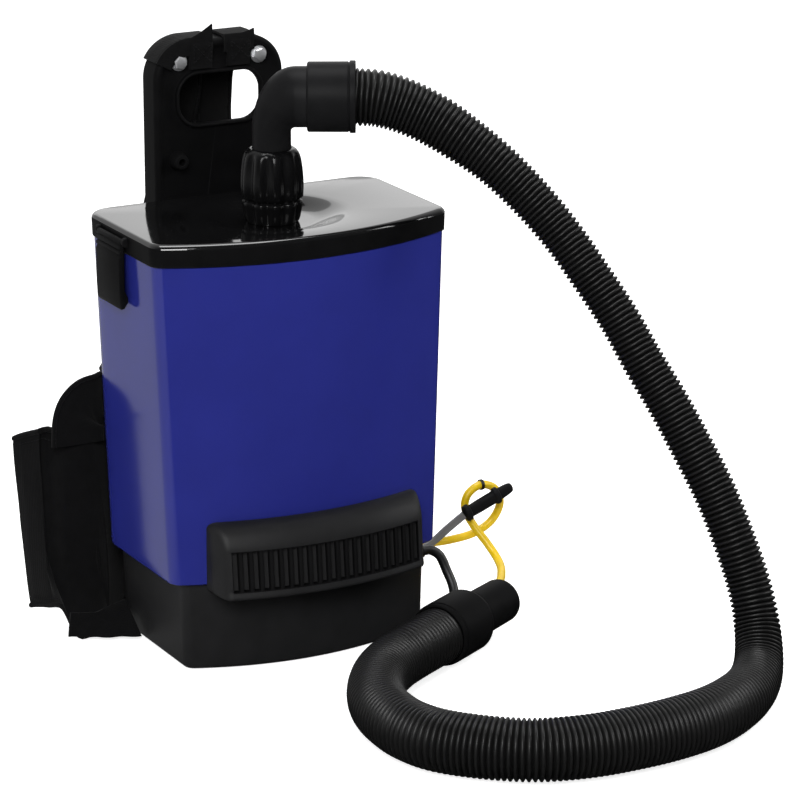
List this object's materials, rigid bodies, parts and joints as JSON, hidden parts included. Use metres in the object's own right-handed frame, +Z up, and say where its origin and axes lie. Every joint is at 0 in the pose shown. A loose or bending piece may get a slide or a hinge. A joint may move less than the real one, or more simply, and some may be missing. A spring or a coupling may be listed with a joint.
{
  "type": "backpack vacuum cleaner",
  "caption": "Backpack vacuum cleaner with a tapered tub, latched lid, swivelling ribbed hose, slatted exhaust cover and a harness frame with straps and a waist belt.",
  "frame": {"origin": "on the floor, under the middle of the tub's width, in the flat underside of the base", "axes": "+Z up, +Y towards the wearer's back, +X to the right of someone who looks at the vent"},
  "size_m": [0.512, 0.6561, 0.5241],
  "materials": {
    "blue_shell": "smooth moulded tub, deep blue",
    "gloss_black": "polished black lid",
    "satin_black": "satin moulded black",
    "textured_black": "fine grained dark grey moulding",
    "vent_black": "satin black slatted moulding",
    "frame_black": "satin black frame moulding",
    "bolt_chrome": "bright plated bolt head",
    "webbing": "woven black tape",
    "padded_fabric": "padded black cloth with a bound edge",
    "hose_black": "ribbed black hose",
    "seal_rubber": "soft black seal",
    "soft_rubber": "soft black sheath",
    "filter_paper": "pleated paper bag",
    "card": "pressed card",
    "filter_foam": "open grey foam",
    "motor_metal": "cast motor case",
    "fan_metal": "pressed fan wheel",
    "yellow_cord": "yellow cord sheath",
    "hook_grey": "dark grey hook moulding"
  },
  "bodies": {
    "chassis": {"back_plate": "frame_black", "bag_collar": "card", "base_housing": "textured_black", "body_shell": "blue_shell", "cord_hook": "hook_grey", "dust_bag": "filter_paper", "exhaust_filter": "filter_foam", "exhaust_vent_cover": "vent_black", "hook_mount": "hook_grey", "hook_strip": "webbing", "hose": "hose_black", "hose_end_cuff": "satin_black", "inlet_spigot": "satin_black", "lid": "gloss_black", "lid_seal": "seal_rubber", "motor_body": "motor_metal", "motor_seal": "seal_rubber", "power_cord": "yellow_cord", "power_cord_gland": "soft_rubber", "power_plug": "yellow_cord", "shoulder_strap_left": "padded_fabric", "shoulder_strap_right": "padded_fabric", "standoff_lower_left": "frame_black", "standoff_lower_right": "frame_black", "standoff_upper_left": "frame_black", "standoff_upper_right": "frame_black", "strap_bolt_left": "bolt_chrome", "strap_bolt_right": "bolt_chrome", "strap_loop_left": "webbing", "strap_loop_right": "webbing", "switch_box": "satin_black", "switch_lead": "soft_rubber", "switch_lead_gland": "soft_rubber", "swivel_collar": "satin_black", "waist_belt_left": "padded_fabric", "waist_belt_right": "padded_fabric", "wand_connector": "satin_black"},
    "elbow": {"hose_elbow": "satin_black", "hose_cuff": "satin_black"},
    "latch_l": {"latch_left": "satin_black"},
    "latch_r": {"latch_right": "satin_black"},
    "fan": {"suction_fan": "fan_metal"},
    "rocker": {"switch_rocker": "satin_black"}
  },
  "joints": [
    {"name": "elbow_swivel", "type": "hinge", "parent": "chassis", "child": "elbow", "pos_m": [0, -0.009, 0.488], "axis": [0, 0, 1], "range_deg": [-60, 60], "deforming": ["hose"]},
    {"name": "latch_left_hinge", "type": "hinge", "parent": "chassis", "child": "latch_l", "pos_m": [-0.14469, 0.0125, 0.377], "axis": [0, 1, 0], "range_deg": [0, 100]},
    {"name": "latch_right_hinge", "type": "hinge", "parent": "chassis", "child": "latch_r", "pos_m": [0.14469, 0.0125, 0.377], "axis": [0, -1, 0], "range_deg": [0, 100]},
    {"name": "fan_spin", "type": "hinge", "parent": "chassis", "child": "fan", "pos_m": [0, 0, 0.05], "axis": [0, 0, 1], "continuous": true},
    {"name": "switch_rock", "type": "hinge", "parent": "chassis", "child": "rocker", "pos_m": [0.157, -0.08, 0.0168], "axis": [1, 0, 0], "range_deg": [-8, 8]}
  ]
}
